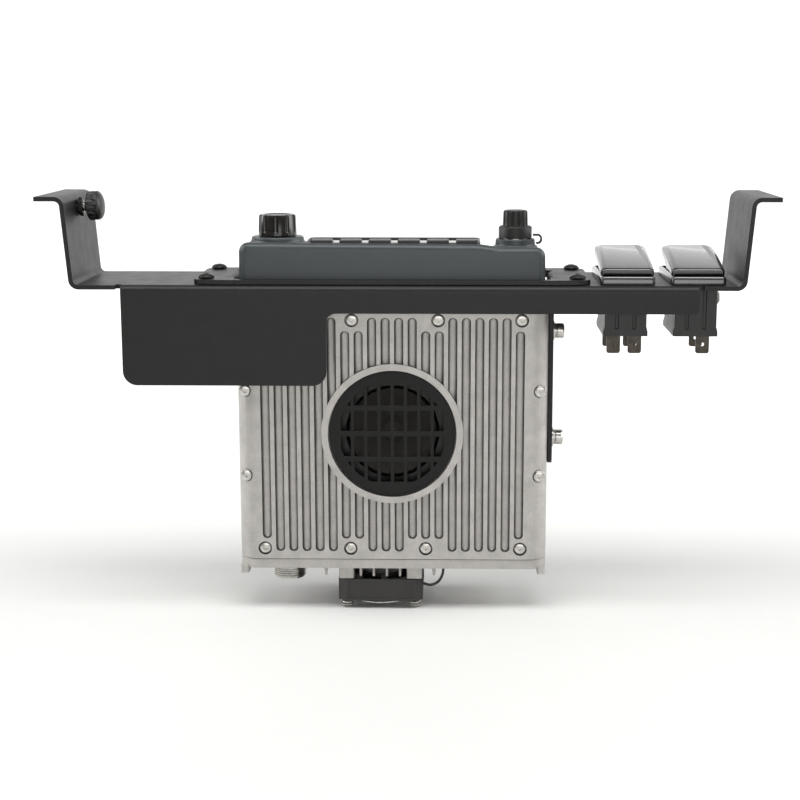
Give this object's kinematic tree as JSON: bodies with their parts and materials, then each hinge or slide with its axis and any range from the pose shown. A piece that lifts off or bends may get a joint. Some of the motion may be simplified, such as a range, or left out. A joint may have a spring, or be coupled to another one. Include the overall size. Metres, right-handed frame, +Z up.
{
  "type": "mobile transceiver",
  "caption": "Mobile radio transceiver hung face up in a bent sheet-metal bracket, with a loudspeaker cover, a cooling fan and rocker switches beside it.",
  "frame": {"origin": "midway between the two hanging flanges, in the plane of their undersides, at the middle of the bracket's depth", "axes": "+X to the right along the bracket's length, +Y away from the ribbed loudspeaker cover, +Z up, out of the radio's front panel"},
  "size_m": [0.3348, 0.059, 0.1956],
  "materials": {
    "bracket_coat": "fine-textured black powder coat",
    "cast_body": "bare die-cast, fine matt grain",
    "panel_plastic": "fine-textured blue-grey moulding",
    "black_plastic": "matt black moulding",
    "gloss_black": "polished black moulding",
    "black_rubber": "matt black rubber",
    "bright_steel": "bright nickel or zinc plating",
    "black_steel": "black oxide or black paint",
    "window": "clear, glossy",
    "circuit_board": "green solder resist",
    "paper_cone": "pressed paper",
    "contact_metal": "plated brass"
  },
  "bodies": {
    "root": {"mounting_bracket": "bracket_coat", "insert_plate": "bracket_coat", "insert_screw_1": "black_steel", "insert_screw_2": "black_steel", "insert_screw_3": "black_steel", "insert_screw_4": "black_steel", "thumb_nut": "black_steel", "side_bolt_upper": "bright_steel", "side_bolt_lower": "bright_steel", "side_bolt_left": "bright_steel", "chassis": "cast_body", "bottom_cover": "cast_body", "cover_screw_01": "bright_steel", "cover_screw_02": "bright_steel", "cover_screw_03": "bright_steel", "cover_screw_04": "bright_steel", "cover_screw_05": "bright_steel", "cover_screw_06": "bright_steel", "cover_screw_07": "bright_steel", "cover_screw_08": "bright_steel", "cover_screw_09": "bright_steel", "cover_screw_10": "bright_steel", "cover_screw_11": "bright_steel", "cover_screw_12": "bright_steel", "speaker_grille": "black_steel", "speaker_frame": "black_steel", "main_board": "circuit_board", "control_board": "circuit_board", "front_bezel": "panel_plastic", "display_window": "window", "volume_encoder": "bright_steel", "mic_socket": "black_plastic", "cap_tether": "black_rubber", "antenna_socket": "bright_steel", "antenna_contact": "contact_metal", "fan_frame": "black_plastic", "fan_guard": "bright_steel", "fan_lead": "black_rubber", "fan_screw_1": "bright_steel", "fan_screw_2": "bright_steel", "fan_screw_3": "bright_steel", "fan_screw_4": "bright_steel", "switch_base_1": "black_plastic", "switch_bezel_1": "gloss_black", "switch_base_2": "black_plastic", "switch_bezel_2": "gloss_black"},
    "volume_knob": {"volume_knob": "black_plastic"},
    "mic_cap": {"mic_cap": "black_rubber"},
    "rocker_1": {"rocker_1": "gloss_black"},
    "rocker_2": {"rocker_2": "gloss_black"},
    "thumb_stud": {"thumb_stud": "bright_steel"},
    "thumb_knob": {"thumb_knob": "black_plastic"},
    "fan_rotor": {"fan_rotor": "black_plastic"},
    "speaker_cone": {"speaker_cone": "paper_cone"},
    "key_1": {"key_1": "black_plastic"},
    "key_2": {"key_2": "black_plastic"},
    "key_3": {"key_3": "black_plastic"},
    "key_4": {"key_4": "black_plastic"},
    "key_5": {"key_5": "black_plastic"},
    "key_6": {"key_6": "black_plastic"}
  },
  "joints": [
    {"name": "volume_turn", "type": "hinge", "parent": "root", "child": "volume_knob", "pos_m": [-0.0611, 0, -0.0137], "axis": [0, 0, 1], "range_deg": [-150, 150]},
    {"name": "key_1_press", "type": "slide", "parent": "root", "child": "key_1", "axis": [0, 0, -1], "range_m": [0, 0.0006], "stiffness_N_per_m": 400},
    {"name": "key_2_press", "type": "slide", "parent": "root", "child": "key_2", "axis": [0, 0, -1], "range_m": [0, 0.0006], "stiffness_N_per_m": 400},
    {"name": "key_3_press", "type": "slide", "parent": "root", "child": "key_3", "axis": [0, 0, -1], "range_m": [0, 0.0006], "stiffness_N_per_m": 400},
    {"name": "key_4_press", "type": "slide", "parent": "root", "child": "key_4", "axis": [0, 0, -1], "range_m": [0, 0.0006], "stiffness_N_per_m": 400},
    {"name": "key_5_press", "type": "slide", "parent": "root", "child": "key_5", "axis": [0, 0, -1], "range_m": [0, 0.0006], "stiffness_N_per_m": 400},
    {"name": "key_6_press", "type": "slide", "parent": "root", "child": "key_6", "axis": [0, 0, -1], "range_m": [0, 0.0006], "stiffness_N_per_m": 400},
    {"name": "mic_cap_pull", "type": "slide", "parent": "root", "child": "mic_cap", "axis": [0, 0, 1], "range_m": [0, 0.012], "deforming": ["cap_tether"]},
    {"name": "rocker_1_tilt", "type": "hinge", "parent": "root", "child": "rocker_1", "pos_m": [0.1002, 0, -0.0351], "axis": [1, 0, 0], "range_deg": [-20, 0]},
    {"name": "rocker_2_tilt", "type": "hinge", "parent": "root", "child": "rocker_2", "pos_m": [0.1322, 0, -0.0351], "axis": [1, 0, 0], "range_deg": [-20, 0]},
    {"name": "thumb_screw_travel", "type": "slide", "parent": "root", "child": "thumb_stud", "axis": [0.9968, 0, 0.0803], "range_m": [-0.0016, 0.0016]},
    {"name": "thumb_screw_turn", "type": "hinge", "parent": "thumb_stud", "child": "thumb_knob", "pos_m": [-0.15477, -0.001, -0.0044], "axis": [0.9968, 0, 0.0803], "range_deg": [-720, 720]},
    {"name": "fan_spin", "type": "hinge", "parent": "root", "child": "fan_rotor", "pos_m": [-0.013, 0, -0.1838], "axis": [0, 0, 1], "continuous": true},
    {"name": "cone_stroke", "type": "slide", "parent": "root", "child": "speaker_cone", "axis": [0, 1, 0], "range_m": [-0.0006, 0.0006], "stiffness_N_per_m": 1000}
  ],
  "couplings": [
    {"joint": "thumb_screw_turn", "follows": "thumb_screw_travel", "rad_per_m": 7853.2}
  ]
}
